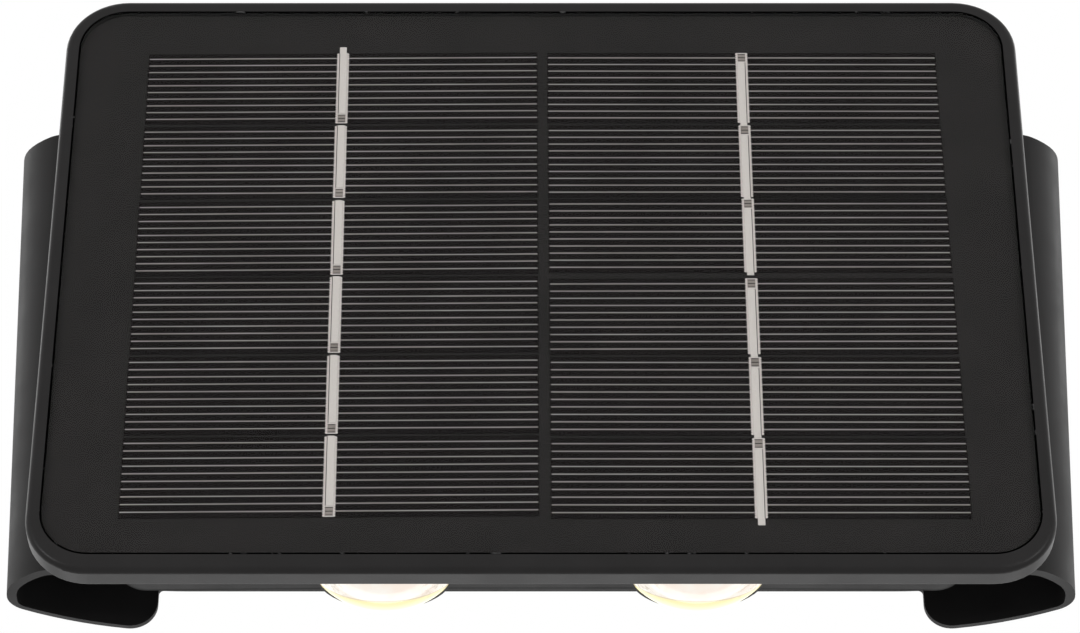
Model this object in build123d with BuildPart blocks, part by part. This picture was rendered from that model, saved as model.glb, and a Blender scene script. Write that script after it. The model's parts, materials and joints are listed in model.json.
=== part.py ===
"""Solar fence light: a flat panel over a lamp body whose two curved wings wrap back to the wall.

Frame: +X to the right seen from the front, +Y into the wall, +Z up. The origin is at the middle
of the two keyholes, on the wall plane. All sizes are in millimetres.
"""

import os
from math import cos, radians, sin, sqrt

from build123d import *

os.makedirs("parts", exist_ok=True)

# ---- Driving dimensions -------------------------------------------------------------------------

# Panel frame
panel_width = 152.8
panel_height = 108.1
panel_thickness = 3.5
panel_corner_radius = 9.7
panel_edge_round = 1.0
panel_rim_depth = 0.5  # rim that stands back from the edge of the panel's rear face
panel_rim_width = 1.4
panel_rim_round = 0.4
bezel_side = 2.1
bezel_top = 2.3
bezel_bottom = 2.85
groove_width = 0.3  # dark gap round the cover glass
boss_radius = 3.0
boss_hole_radius = 1.2
boss_inset_x = 17.5  # body side to a boss
boss_inset_z = 12.25

# Laminate, from the front to the back
glass_thickness = 0.6
ribbon_thickness = 0.1
cell_thickness = 0.2
backboard_thickness = 0.9
adhesive_thickness = 0.2
adhesive_width = 4.0

# Cells
cell_columns = 2
cell_rows = 6
cell_margin_side = 11.05  # laminate edge to the array, before its shift
cell_margin_end = 7.175
cell_gap_x = 1.1
cell_gap_z = 0.5
array_shift_x = 0.4
array_shift_z = -0.8
ribbon_width = 1.8
tab_width = 1.1
tab_length = 1.6

# Lamp body
panel_overhang_side = 10.9  # panel edge to the body's side
panel_overhang_end = 11.8
body_corner_radius = 5.0
body_bow = 0.4  # the long walls are hollow by this much at the middle
body_wall = 1.6
rim_setback = 13.3  # wall plane to the housing's rear rim
collar_gap = 0.1  # body depth left in front of and behind a lens collar
cover_seal_thickness = 0.4

# Wings
wing_end_setback = 0.4  # body end to the wing's end
wing_reach = 18.6  # body side to the outside of a wing at mid-height
wing_flare = 0.043  # each side leans out by this much per millimetre of height
wing_wall = 1.5
nose_radius = 7.0  # the three bends from the seam forwards
nose_angle = 42.0
brow_radius = 14.0
brow_angle = 18.0
root_radius = 5.0
root_angle = 24.0
heel_radius = 4.2  # the two bends from the seam back to the flat
heel_angle = 60.0
sole_radius = 50.0
sole_angle = 30.0
plate_wall = 0.9  # the cover thins to this past the heel
cut_out_inset = 5.5  # body side to the cut-out between the lips, at each end of the cover
cut_out_ledge = 0.3  # plate left proud of the pan at each cut-out
lip_corner_radius = 4.6
cut_out_fillet = 0.8

# Rear pan: the part of the cover that closes the body
pan_wall = 1.6
pan_side_inset = 3.5
pan_end_inset = 7.95

# Lenses
lens_spacing = 47.4
lens_radius = 10.2
lens_dome_radius = 13.77
lens_seat_depth = 2.0
lens_skirt_radius = 8.6
lens_skirt_length = 5.4
lens_cavity_radius = 6.6
lens_cavity_roof = 3.0  # dome left above the cavity
lens_fit = 0.05
collar_wall = 0.35
collar_reach = 3.6  # how far a collar stands out of the body
lens_seal_thickness = 0.4

# LED boards
led_board_length = 104.0
led_board_width = 14.0
board_thickness = 1.2
led_board_setback = 4.6  # body end to the board's near face
led_post_inset = 6.0  # board's end to a post
led_post_radius = 2.6
led_package = 5.0
led_package_height = 0.8
led_package_corner = 0.4
led_dome_radius = 1.7
led_board_corner = 1.0

# Control board
control_board_length = 70.0
control_board_height = 30.0
control_board_corner = 1.5
control_post_height = 3.0
control_post_radius = 2.2
control_post_inset = 4.0
led_plug_x = 19.0
led_plug_z = 9.0
led_plug_width = 8.0
led_plug_height = 4.0
led_plug_rise = 3.4

# Small screws
screw_shank_radius = 0.95
screw_head_radius = 1.9
screw_head_height = 1.2
screw_length = 4.0
screw_fit = 0.05

# Panel screws
panel_screw_head_radius = 3.8
panel_screw_head_height = 1.5
boss_fit = 0.1
panel_screw_reach = 1.0  # thread left out of the boss hole's blind end

# Cover screws
cover_screw_inset_x = 9.0  # body side to a cover screw
cover_screw_inset_z = 17.25
cover_screw_shank_radius = 1.45
cover_screw_head_radius = 2.8
cover_screw_head_height = 1.8
cover_screw_recess = 3.0
cover_screw_fit = 0.1
cover_screw_length = 16.0
cover_post_radius = 4.4
cover_post_gap = 0.2

# Keyholes
keyhole_spacing = 90.0
keyhole_entry_radius = 4.0
keyhole_slot_width = 4.2
keyhole_travel = 7.0
keyhole_pocket_depth = 5.0
keyhole_pocket_wall = 1.2
keyhole_plate = 1.5  # cover thickness round the keyholes
keyhole_head_room = 1.2

# Battery
cell_radius = 9.15
battery_length = 64.0
battery_nub_radius = 3.0
battery_nub_length = 1.0
battery_edge_round = 0.8
battery_fit = 0.15
cradle_wall = 1.8
cradle_floor = 1.6
cradle_height = 12.5
contact_thickness = 0.4
contact_size = 11.0
contact_spring_length = 1.1
contact_taper = 15.0

# Switch
switch_z = -22.0
well_radius = 7.0
well_depth = 2.6
well_wall = 1.5
button_radius = 4.2
button_fit = 0.12
button_recess = 0.5  # button face below the wall plane
button_travel = 1.5
button_flange_radius = 5.0
button_flange_height = 0.8
button_stem_radius = 1.4
button_stem_length = 2.6
button_gap = 0.1
button_edge_round = 0.6
switch_size = 10.0
switch_corner = 0.6
switch_depth = 9.0
switch_fit = 0.15
switch_seal_width = 2.2
switch_seal_height = 1.2

# Wires
wire_radius = 0.5
wire_spacing = 2.6
wire_bend = 2.5
wire_hole_radius = 2.5
wire_hole_z = 20.0
wire_rise = 5.0  # how far a pair rises off the control board before it turns
panel_joint_inset = 5.0  # board's top edge to the panel pair's joint
switch_joint_inset = 6.0  # board's bottom edge to the switch pair's joint
battery_joint_z = 6.0
led_wire_run = 7.5  # straight run out of a plug, and the climb of the slanted run after it
led_joint_offset = 2.5  # lens axis to the joint on an LED board

cut_past = 0.5  # how far a cut runs past the wall that it opens

# ---- Places worked out from the sizes -----------------------------------------------------------

collar_radius = lens_radius + lens_fit + collar_wall
rim_y = -rim_setback
lens_axis_y = rim_y - collar_gap - collar_radius
panel_back_y = lens_axis_y - collar_radius - collar_gap
panel_front_y = panel_back_y - panel_thickness
laminate_depth = (
    glass_thickness + ribbon_thickness + cell_thickness + backboard_thickness + adhesive_thickness
)
pocket_width = panel_width - 2 * bezel_side
pocket_height = panel_height - bezel_top - bezel_bottom
pocket_z = (bezel_bottom - bezel_top) / 2
pocket_corner_radius = panel_corner_radius - bezel_side
glass_back_y = panel_front_y + glass_thickness
ribbon_back_y = glass_back_y + ribbon_thickness
cell_back_y = ribbon_back_y + cell_thickness
backboard_back_y = cell_back_y + backboard_thickness
pocket_floor_y = panel_front_y + laminate_depth

front_wall_y = panel_back_y + body_wall  # inner face of the body's front wall
pan_rim_y = rim_y + cover_seal_thickness
body_width = panel_width - 2 * panel_overhang_side
body_height = panel_height - 2 * panel_overhang_end
body_end_z = body_height / 2
wing_height = body_height - 2 * wing_end_setback
wing_width = body_width + 2 * wing_reach
plate_inner_y = -plate_wall
front_bends = ((nose_radius, nose_angle), (brow_radius, brow_angle), (root_radius, root_angle))
rear_bends = ((heel_radius, heel_angle), (sole_radius, sole_angle))


def bend_drop(bends):
    """Depth gained along a chain of tangent bends that starts straight back."""
    turned, depth = 0.0, 0.0
    for radius, angle in bends:
        depth += radius * (sin(radians(turned + angle)) - sin(radians(turned)))
        turned += angle
    return depth


seam_y = -bend_drop(rear_bends)
lens_plane_z = body_end_z + collar_reach
lens_seat_z = lens_plane_z - lens_seat_depth
boss_spread_x = body_width - 2 * boss_inset_x
boss_spread_z = body_height - 2 * boss_inset_z
cover_screw_spread_x = body_width - 2 * cover_screw_inset_x
cover_screw_spread_z = body_height - 2 * cover_screw_inset_z
led_post_spread = led_board_length - 2 * led_post_inset
cut_out_width = body_width - 2 * cut_out_inset
cut_out_depth = wing_height / 2 - (body_end_z - pan_end_inset + cut_out_ledge)

well_floor_y = -well_depth - well_wall  # inner face of the well's floor
switch_pocket = switch_size + 2 * switch_fit
switch_back_y = well_floor_y - button_gap - button_flange_height - button_travel - button_gap
switch_pocket_depth = well_floor_y - switch_back_y + switch_depth / 2

battery_y = plate_inner_y - cradle_floor - battery_fit - cell_radius
contact_gap = contact_spring_length + battery_nub_length
cradle_inner_x = battery_length / 2 + contact_gap + contact_thickness


def facing(y):
    """Plane that looks out of the front at depth y, with local x = X and local y = Z."""
    return Plane(origin=(0, y, 0), x_dir=(1, 0, 0), z_dir=(0, -1, 0))


def save(part, name):
    """Label one finished piece and write it."""
    part.label = name
    export_step(part, f"parts/{name}.step")


def body_outline(width, height, corner):
    """Rounded outline whose long sides are hollow by the body's bow, added to the open sketch."""
    x, z = width / 2, height / 2
    with BuildLine() as outline:
        ThreePointArc((-x, -z), (0, -z + body_bow), (x, -z))
        Line((x, -z), (x, z))
        ThreePointArc((x, z), (0, z - body_bow), (-x, z))
        Line((-x, z), (-x, -z))
    face = make_face(outline.edges())
    fillet(face.vertices(), corner)


def wing_edge(start, heading, turn, bends, inset):
    """Tangent arcs from the seam round one side of a wing; returns the last arc."""
    arc = None
    for radius, angle in bends:
        arc = JernArc(start, heading, radius - inset, turn * angle)
        start, heading = arc @ 1, arc % 1
    return arc


def thinning_edge(start, side):
    """Inner edge of the cover's wall: wing_wall thick at the seam and plate_wall past the heel."""
    turn = radians(heel_angle)
    radius = heel_radius - (wing_wall - plate_wall * cos(turn)) / (1 - cos(turn))
    straight = (heel_radius - plate_wall - radius) * sin(turn)
    heel_start = (start[0], start[1] + straight)
    Line(start, heel_start)
    heel = JernArc(heel_start, (0, 1), radius, side * heel_angle)
    return JernArc(heel @ 1, heel % 1, sole_radius - plate_wall, side * sole_angle)


def seam_x(z):
    """Half width over the wings at a height."""
    return wing_width / 2 + wing_flare * z


# ---- Panel --------------------------------------------------------------------------------------

boss_places = GridLocations(boss_spread_x, boss_spread_z, 2, 2)

with BuildPart() as panel_frame:
    with BuildSketch(facing(panel_back_y + panel_rim_depth)):
        RectangleRounded(panel_width, panel_height, panel_corner_radius)
    extrude(amount=panel_thickness + panel_rim_depth)
    fillet(panel_frame.faces().sort_by(Axis.Y)[0].edges(), panel_edge_round)
    fillet(panel_frame.faces().sort_by(Axis.Y)[-1].edges(), panel_rim_round)
    with BuildSketch(facing(panel_back_y + panel_rim_depth)):
        RectangleRounded(
            panel_width - 2 * panel_rim_width,
            panel_height - 2 * panel_rim_width,
            panel_corner_radius - panel_rim_width,
        )
    extrude(amount=panel_rim_depth, mode=Mode.SUBTRACT)
    with BuildSketch(facing(panel_front_y)):
        with Locations((0, pocket_z)):
            RectangleRounded(pocket_width, pocket_height, pocket_corner_radius)
    extrude(amount=-laminate_depth, mode=Mode.SUBTRACT)
    with BuildSketch(facing(front_wall_y)):
        with boss_places:
            Circle(boss_radius)
    extrude(amount=body_wall)
    with BuildSketch(facing(front_wall_y)):
        with boss_places:
            Circle(boss_hole_radius)
    extrude(amount=body_wall + panel_screw_reach, mode=Mode.SUBTRACT)
    with BuildSketch(facing(panel_back_y)):
        with Locations((0, wire_hole_z)):
            Circle(wire_hole_radius)
    extrude(amount=panel_thickness, mode=Mode.SUBTRACT)
save(panel_frame.part, "panel_frame")

laminate_width = pocket_width - 2 * groove_width
laminate_height = pocket_height - 2 * groove_width
laminate_corner = pocket_corner_radius - groove_width


def laminate_outline(inset=0.0):
    """Outline shared by the glass, the backboard and the adhesive."""
    with Locations((0, pocket_z)):
        RectangleRounded(
            laminate_width - 2 * inset, laminate_height - 2 * inset, laminate_corner - inset
        )


with BuildPart() as solar_glass:
    with BuildSketch(facing(glass_back_y)):
        laminate_outline()
    extrude(amount=glass_thickness)
save(solar_glass.part, "solar_glass")

with BuildPart() as solar_backboard:
    with BuildSketch(facing(backboard_back_y)):
        laminate_outline()
    extrude(amount=backboard_thickness)
save(solar_backboard.part, "solar_backboard")

with BuildPart() as panel_adhesive:
    with BuildSketch(facing(pocket_floor_y)):
        laminate_outline()
        with Locations((0, pocket_z)):
            RectangleRounded(
                laminate_width - 2 * adhesive_width,
                laminate_height - 2 * adhesive_width,
                laminate_corner - adhesive_width,
                mode=Mode.SUBTRACT,
            )
    extrude(amount=adhesive_thickness)
save(panel_adhesive.part, "panel_adhesive")

array_width = laminate_width - 2 * cell_margin_side
array_height = laminate_height - 2 * cell_margin_end
column_pitch = (array_width + cell_gap_x) / cell_columns
row_pitch = (array_height + cell_gap_z) / cell_rows
cell_length = column_pitch - cell_gap_x
cell_height = row_pitch - cell_gap_z

with BuildPart() as solar_cells:
    with BuildSketch(facing(cell_back_y)):
        with Locations((array_shift_x, array_shift_z)):
            with GridLocations(column_pitch, row_pitch, cell_columns, cell_rows):
                Rectangle(cell_length, cell_height)
    extrude(amount=cell_thickness)
save(solar_cells.part, "solar_cells")

with BuildPart() as cell_ribbons:
    with BuildSketch(facing(ribbon_back_y)):
        with Locations((array_shift_x, array_shift_z)):
            with GridLocations(column_pitch, row_pitch, cell_columns, cell_rows):
                Rectangle(ribbon_width, cell_height)
            with GridLocations(column_pitch, cell_rows * row_pitch + tab_length, cell_columns, 2):
                Rectangle(tab_width, tab_length)
    extrude(amount=ribbon_thickness)
save(cell_ribbons.part, "cell_ribbons")

with BuildPart() as panel_screws:
    with BuildSketch(facing(front_wall_y + panel_screw_head_height)):
        with boss_places:
            Circle(panel_screw_head_radius)
    extrude(amount=panel_screw_head_height)
    with BuildSketch(facing(front_wall_y)):
        with boss_places:
            Circle(boss_hole_radius - screw_fit)
    extrude(amount=body_wall)
save(panel_screws.part, "panel_screws")

# ---- Front housing ------------------------------------------------------------------------------

ends = {"lower": -1, "upper": 1}
sides = {"left": -1, "right": 1}
cover_screw_places = GridLocations(cover_screw_spread_x, cover_screw_spread_z, 2, 2)
control_screw_places = GridLocations(
    control_board_length - 2 * control_post_inset,
    control_board_height - 2 * control_post_inset,
    2,
    2,
)
led_board_near_z = body_end_z - led_board_setback
led_board_far_z = led_board_near_z - board_thickness
control_board_front_y = front_wall_y + control_post_height
control_board_back_y = control_board_front_y + board_thickness
lens_bore_end_z = body_end_z - body_wall - body_bow - cut_past
inner_width = body_width - 2 * body_wall
inner_height = body_height - 2 * body_wall

# Parts on the control board: centre x, centre z, width, height and rise
board_layout = (
    (-8.0, 3.0, 7.0, 7.0, 1.2),  # controller
    (6.0, 4.0, 6.0, 6.0, 3.0),  # coil
    (17.0, 2.0, 5.0, 4.0, 1.8),
    (-20.0, 5.0, 5.0, 6.0, 1.6),
    (-led_plug_x, -led_plug_z, led_plug_width, led_plug_height, led_plug_rise),
    (led_plug_x, led_plug_z, led_plug_width, led_plug_height, led_plug_rise),
)

# Routes of the wire pairs: their points, and how far apart the two wires lie
across = (wire_spacing, 0, 0)
board_y = control_board_back_y
loop_y = board_y + wire_rise
panel_joint_z = control_board_height / 2 - panel_joint_inset
switch_joint_z = -control_board_height / 2 + switch_joint_inset
plug_edge_z = led_plug_z + led_plug_height / 2
plug_y = board_y + led_plug_rise / 2
led_joint_y = lens_axis_y + led_joint_offset
battery_joint_x = cradle_inner_x - contact_thickness / 2
contact_edge_y = battery_y - contact_size / 2
switch_front_y = switch_back_y - switch_depth
wire_routes = {
    "panel_wires": (
        (
            (0, backboard_back_y, wire_hole_z),
            (0, loop_y, wire_hole_z),
            (0, loop_y, panel_joint_z),
            (0, board_y, panel_joint_z),
        ),
        across,
    ),
    "switch_wires": (
        (
            (0, switch_front_y, switch_z),
            (0, loop_y, switch_z),
            (0, loop_y, switch_joint_z),
            (0, board_y, switch_joint_z),
        ),
        across,
    ),
    "battery_wires": (
        (
            (0, contact_edge_y, 0),
            (0, loop_y, 0),
            (0, loop_y, battery_joint_z),
            (0, board_y, battery_joint_z),
        ),
        (2 * battery_joint_x, 0, 0),
    ),
}
for end_name, end in ends.items():
    x = end * led_plug_x
    wire_routes[f"led_wires_{end_name}"] = (
        (
            (x, plug_y, end * plug_edge_z),
            (x, plug_y, end * (plug_edge_z + led_wire_run)),
            (x, led_joint_y, end * (plug_edge_z + 2 * led_wire_run)),
            (x, led_joint_y, end * led_board_far_z),
        ),
        across,
    )


def close_section(outer, inner, start, root_x):
    """Run both edges of a wing on to the body wall and close the section at its root."""
    roots = []
    for arc in (outer, inner):
        end_point, heading = arc @ 1, arc % 1
        root = end_point + heading * ((end_point.X - root_x) / -heading.X)
        Line(end_point, root)
        roots.append(root)
    Line(roots[0], roots[1])
    Line(start, (start[0] - wing_wall, start[1]))


with BuildPart() as front_wing:
    for z in (-wing_height / 2, wing_height / 2):
        with BuildSketch(Plane.XY.offset(z)):
            with BuildLine():
                seam = (seam_x(z), seam_y)
                outer = wing_edge(seam, (0, -1), -1, front_bends, 0)
                inner = wing_edge((seam[0] - wing_wall, seam_y), (0, -1), -1, front_bends, wing_wall)
                close_section(outer, inner, seam, body_width / 2 - body_wall / 2)
            make_face()
    loft(ruled=True)


with BuildPart() as front_housing:
    # Body box, open at the rear
    with BuildSketch(facing(rim_y)):
        body_outline(body_width, body_height, body_corner_radius)
    extrude(amount=rim_y - panel_back_y)
    with BuildSketch(facing(rim_y)):
        body_outline(inner_width, inner_height, body_corner_radius - body_wall)
    extrude(amount=rim_y - front_wall_y, mode=Mode.SUBTRACT)
    # Collars and LED board posts on both end walls
    for end in ends.values():
        with BuildSketch(Plane.XY.offset(end * lens_plane_z)):
            with Locations((0, lens_axis_y)):
                with GridLocations(lens_spacing, 1, 2, 1):
                    Circle(collar_radius)
        extrude(amount=-end * (collar_reach + body_wall))
        with BuildSketch(Plane.XY.offset(end * led_board_near_z)):
            with Locations((0, lens_axis_y)):
                with GridLocations(led_post_spread, 1, 2, 1):
                    Circle(led_post_radius)
        extrude(amount=end * (led_board_setback - body_wall / 2))
    # Posts for the control board and the cover screws
    with BuildSketch(facing(front_wall_y)):
        with control_screw_places:
            Circle(control_post_radius)
    extrude(amount=-control_post_height)
    with BuildSketch(facing(front_wall_y)):
        with cover_screw_places:
            Circle(cover_post_radius)
    extrude(amount=-(rim_y - cover_post_gap - front_wall_y))
    # Front half of each wing
    add(front_wing.part)
    mirror(front_wing.part, about=Plane.YZ)
    # Stepped lens bores and LED screw holes
    for end in ends.values():
        for radius, near_z, far_z in (
            (lens_radius + lens_fit, lens_plane_z, lens_seat_z - lens_seal_thickness),
            (lens_skirt_radius + lens_fit, lens_plane_z, lens_bore_end_z),
        ):
            with BuildSketch(Plane.XY.offset(end * near_z)):
                with Locations((0, lens_axis_y)):
                    with GridLocations(lens_spacing, 1, 2, 1):
                        Circle(radius)
            extrude(amount=-end * (near_z - far_z), mode=Mode.SUBTRACT)
        with BuildSketch(Plane.XY.offset(end * led_board_near_z)):
            with Locations((0, lens_axis_y)):
                with GridLocations(led_post_spread, 1, 2, 1):
                    Circle(screw_shank_radius + screw_fit)
        extrude(amount=end * (screw_length - board_thickness), mode=Mode.SUBTRACT)
    # Holes through the front wall, and blind holes in the posts
    with BuildSketch(facing(front_wall_y)):
        with boss_places:
            Circle(boss_radius + boss_fit)
        with Locations((0, wire_hole_z)):
            Circle(wire_hole_radius)
    extrude(amount=body_wall, mode=Mode.SUBTRACT)
    with BuildSketch(facing(control_board_front_y)):
        with control_screw_places:
            Circle(screw_shank_radius + screw_fit)
    extrude(amount=screw_length - board_thickness, mode=Mode.SUBTRACT)
    with BuildSketch(facing(rim_y)):
        with cover_screw_places:
            Circle(cover_screw_shank_radius + screw_fit)
    extrude(amount=cover_screw_length, mode=Mode.SUBTRACT)
save(front_housing.part, "front_housing")

# ---- Rear cover ---------------------------------------------------------------------------------

plate_face = facing(0)

with BuildPart() as cover_sheet:
    for z in (-wing_height / 2, wing_height / 2):
        with BuildSketch(Plane.XY.offset(z)):
            with BuildLine():
                outer_ends = []
                inner_ends = []
                for side in sides.values():
                    outer_seam = (side * seam_x(z), seam_y)
                    inner_seam = (side * (seam_x(z) - wing_wall), seam_y)
                    Line(outer_seam, inner_seam)
                    outer_ends.append(wing_edge(outer_seam, (0, 1), side, rear_bends, 0) @ 1)
                    inner_ends.append(thinning_edge(inner_seam, side) @ 1)
                Line(outer_ends[0], outer_ends[1])
                Line(inner_ends[0], inner_ends[1])
            make_face()
    loft(ruled=True)
    # Cut-out between the lips, with rounded lip corners
    for end in ends.values():
        with BuildSketch(plate_face) as cut_out:
            z_open = end * wing_height / 2
            with Locations((0, z_open)):
                Rectangle(cut_out_width, 2 * cut_out_depth)
            fillet(cut_out.vertices(), cut_out_fillet)
            with Locations((0, z_open)):
                Rectangle(cut_out_width + 2 * lip_corner_radius, 2 * lip_corner_radius)
            for side in sides.values():
                x = side * (cut_out_width / 2 + lip_corner_radius)
                with Locations((x, z_open - end * lip_corner_radius)):
                    Circle(lip_corner_radius, mode=Mode.SUBTRACT)
        extrude(amount=rim_setback, mode=Mode.SUBTRACT)

with BuildPart() as pan_hollow:
    with BuildSketch(facing(pan_rim_y)):
        width = body_width - 2 * pan_wall
        height = body_height - 2 * pan_wall
        body_outline(width, height, body_corner_radius - pan_wall)
    with BuildSketch(facing(plate_inner_y)):
        width = body_width - 2 * (pan_wall + pan_side_inset)
        height = body_height - 2 * (pan_wall + pan_end_inset)
        body_outline(width, height, body_corner_radius - pan_wall)
    loft(ruled=True)

with BuildPart() as rear_cover:
    with BuildSketch(facing(pan_rim_y)):
        body_outline(body_width, body_height, body_corner_radius)
    with BuildSketch(facing(plate_inner_y)):
        width = body_width - 2 * pan_side_inset
        height = body_height - 2 * pan_end_inset
        body_outline(width, height, body_corner_radius)
    loft(ruled=True)
    add(pan_hollow.part, mode=Mode.SUBTRACT)
    # Posts for the cover screws, from inside the plate to the housing's posts
    with BuildSketch(facing(plate_inner_y / 2)):
        with cover_screw_places:
            Circle(cover_post_radius)
    extrude(amount=plate_inner_y / 2 - rim_y)
    add(cover_sheet.part)
    # Closed pockets behind the keyholes
    with BuildSketch(facing(plate_inner_y)):
        with GridLocations(keyhole_spacing, 1, 2, 1):
            SlotCenterPoint(
                (0, keyhole_travel / 2),
                (0, keyhole_travel + keyhole_pocket_wall),
                2 * (keyhole_entry_radius + keyhole_head_room + keyhole_pocket_wall),
            )
    extrude(amount=keyhole_plate - plate_wall + keyhole_pocket_depth + keyhole_pocket_wall)
    with BuildSketch(facing(-keyhole_plate)):
        with GridLocations(keyhole_spacing, 1, 2, 1):
            SlotCenterPoint(
                (0, keyhole_travel / 2),
                (0, keyhole_travel + keyhole_pocket_wall),
                2 * (keyhole_entry_radius + keyhole_head_room),
            )
    extrude(amount=keyhole_pocket_depth, mode=Mode.SUBTRACT)
    # Keyholes through the plate
    with BuildSketch(plate_face):
        with GridLocations(keyhole_spacing, 1, 2, 1):
            Circle(keyhole_entry_radius)
            SlotCenterPoint((0, keyhole_travel / 2), (0, keyhole_travel), keyhole_slot_width)
    extrude(amount=keyhole_plate, mode=Mode.SUBTRACT)
    # Sunk well for the push button, with a square pocket for the switch in front of it
    with BuildSketch(plate_face):
        with Locations((0, switch_z)):
            Circle(well_radius + well_wall)
    extrude(amount=well_depth + well_wall)
    with BuildSketch(facing(well_floor_y)):
        with Locations((0, switch_z)):
            Rectangle(switch_pocket + 2 * well_wall, switch_pocket + 2 * well_wall)
    extrude(amount=switch_pocket_depth)
    with BuildSketch(facing(well_floor_y)):
        with Locations((0, switch_z)):
            Rectangle(switch_pocket, switch_pocket)
    extrude(amount=switch_pocket_depth, mode=Mode.SUBTRACT)
    for radius, depth in ((well_radius, well_depth), (button_radius + button_fit, -well_floor_y)):
        with BuildSketch(plate_face):
            with Locations((0, switch_z)):
                Circle(radius)
        extrude(amount=depth, mode=Mode.SUBTRACT)
    # Screw recesses and clearance holes
    for radius, depth in (
        (cover_screw_head_radius + cover_screw_fit, cover_screw_recess),
        (cover_screw_shank_radius + cover_screw_fit, -rim_y),
    ):
        with BuildSketch(facing(cut_past)):
            with cover_screw_places:
                Circle(radius)
        extrude(amount=cut_past + depth, mode=Mode.SUBTRACT)
save(rear_cover.part, "rear_cover")

with BuildPart() as cover_seal:
    with BuildSketch(facing(pan_rim_y)):
        body_outline(body_width, body_height, body_corner_radius)
    extrude(amount=cover_seal_thickness)
    with BuildSketch(facing(pan_rim_y)):
        body_outline(inner_width, inner_height, body_corner_radius - body_wall)
    extrude(amount=cover_seal_thickness, mode=Mode.SUBTRACT)
save(cover_seal.part, "cover_seal")

with BuildPart() as cover_screws:
    with BuildSketch(facing(-cover_screw_recess)):
        with cover_screw_places:
            Circle(cover_screw_head_radius)
    extrude(amount=-cover_screw_head_height)
    with BuildSketch(facing(-cover_screw_recess)):
        with cover_screw_places:
            Circle(cover_screw_shank_radius)
    extrude(amount=cover_screw_length)
save(cover_screws.part, "cover_screws")

# ---- Lenses -------------------------------------------------------------------------------------

dome_centre_depth = sqrt(lens_dome_radius**2 - lens_radius**2)
dome_height = lens_dome_radius - dome_centre_depth
cavity_rise = lens_seat_depth + dome_height - lens_cavity_roof
cavity_dome_radius = (lens_cavity_radius**2 + cavity_rise**2) / (2 * cavity_rise)

for end_name, end in ends.items():
    for side_name, side in sides.items():
        axis_x = side * lens_spacing / 2
        # Local y points out of the body along the lens axis
        lens_plane = Plane(
            origin=(axis_x, lens_axis_y, end * lens_plane_z), x_dir=(1, 0, 0), z_dir=(0, -end, 0)
        )
        with BuildPart() as lens:
            with BuildSketch(lens_plane):
                with BuildLine():
                    RadiusArc((0, dome_height), (lens_radius, 0), lens_dome_radius)
                    Polyline(
                        (lens_radius, 0),
                        (lens_radius, -lens_seat_depth),
                        (lens_skirt_radius, -lens_seat_depth),
                        (lens_skirt_radius, -lens_skirt_length),
                        (lens_cavity_radius, -lens_skirt_length),
                        (lens_cavity_radius, -lens_seat_depth),
                    )
                    RadiusArc(
                        (lens_cavity_radius, -lens_seat_depth),
                        (0, dome_height - lens_cavity_roof),
                        -cavity_dome_radius,
                    )
                    Line((0, dome_height - lens_cavity_roof), (0, dome_height))
                make_face()
            revolve(axis=Axis((axis_x, lens_axis_y, 0), (0, 0, 1)))
        save(lens.part, f"lens_{end_name}_{side_name}")

        with BuildPart() as lens_seal:
            with BuildSketch(Plane.XY.offset(end * lens_seat_z)):
                with Locations((axis_x, lens_axis_y)):
                    Circle(lens_radius)
                    Circle(lens_skirt_radius + lens_fit, mode=Mode.SUBTRACT)
            extrude(amount=-end * lens_seal_thickness)
        save(lens_seal.part, f"lens_seal_{end_name}_{side_name}")

# ---- LED boards ---------------------------------------------------------------------------------

for end_name, end in ends.items():
    with BuildPart() as led_board:
        with BuildSketch(Plane.XY.offset(end * led_board_near_z)):
            with Locations((0, lens_axis_y)):
                RectangleRounded(led_board_length, led_board_width, led_board_corner)
                with GridLocations(led_post_spread, 1, 2, 1):
                    Circle(screw_shank_radius + screw_fit, mode=Mode.SUBTRACT)
        extrude(amount=-end * board_thickness)
    save(led_board.part, f"led_board_{end_name}")

    with BuildPart() as leds:
        with BuildSketch(Plane.XY.offset(end * led_board_near_z)):
            with Locations((0, lens_axis_y)):
                with GridLocations(lens_spacing, 1, 2, 1):
                    RectangleRounded(led_package, led_package, led_package_corner)
        extrude(amount=end * led_package_height)
        with BuildSketch(Plane.XY.offset(end * (led_board_near_z + led_package_height))):
            with Locations((0, lens_axis_y)):
                with GridLocations(lens_spacing, 1, 2, 1):
                    Circle(led_dome_radius)
        extrude(amount=end * led_package_height)
    save(leds.part, f"leds_{end_name}")

    with BuildPart() as led_screws:
        with BuildSketch(Plane.XY.offset(end * led_board_far_z)):
            with Locations((0, lens_axis_y)):
                with GridLocations(led_post_spread, 1, 2, 1):
                    Circle(screw_head_radius)
        extrude(amount=-end * screw_head_height)
        with BuildSketch(Plane.XY.offset(end * led_board_far_z)):
            with Locations((0, lens_axis_y)):
                with GridLocations(led_post_spread, 1, 2, 1):
                    Circle(screw_shank_radius)
        extrude(amount=end * screw_length)
    save(led_screws.part, f"led_screws_{end_name}")

# ---- Control board ------------------------------------------------------------------------------

with BuildPart() as control_board:
    with BuildSketch(facing(control_board_back_y)):
        RectangleRounded(control_board_length, control_board_height, control_board_corner)
        with control_screw_places:
            Circle(screw_shank_radius + screw_fit, mode=Mode.SUBTRACT)
    extrude(amount=board_thickness)
save(control_board.part, "control_board")

with BuildPart() as board_parts:
    for x, z, width, height, rise in board_layout:
        with BuildSketch(facing(control_board_back_y)):
            with Locations((x, z)):
                Rectangle(width, height)
        extrude(amount=-rise)
save(board_parts.part, "board_parts")

with BuildPart() as control_screws:
    with BuildSketch(facing(control_board_back_y)):
        with control_screw_places:
            Circle(screw_head_radius)
    extrude(amount=-screw_head_height)
    with BuildSketch(facing(control_board_back_y)):
        with control_screw_places:
            Circle(screw_shank_radius)
    extrude(amount=screw_length)
save(control_screws.part, "control_screws")

# ---- Battery ------------------------------------------------------------------------------------

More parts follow.
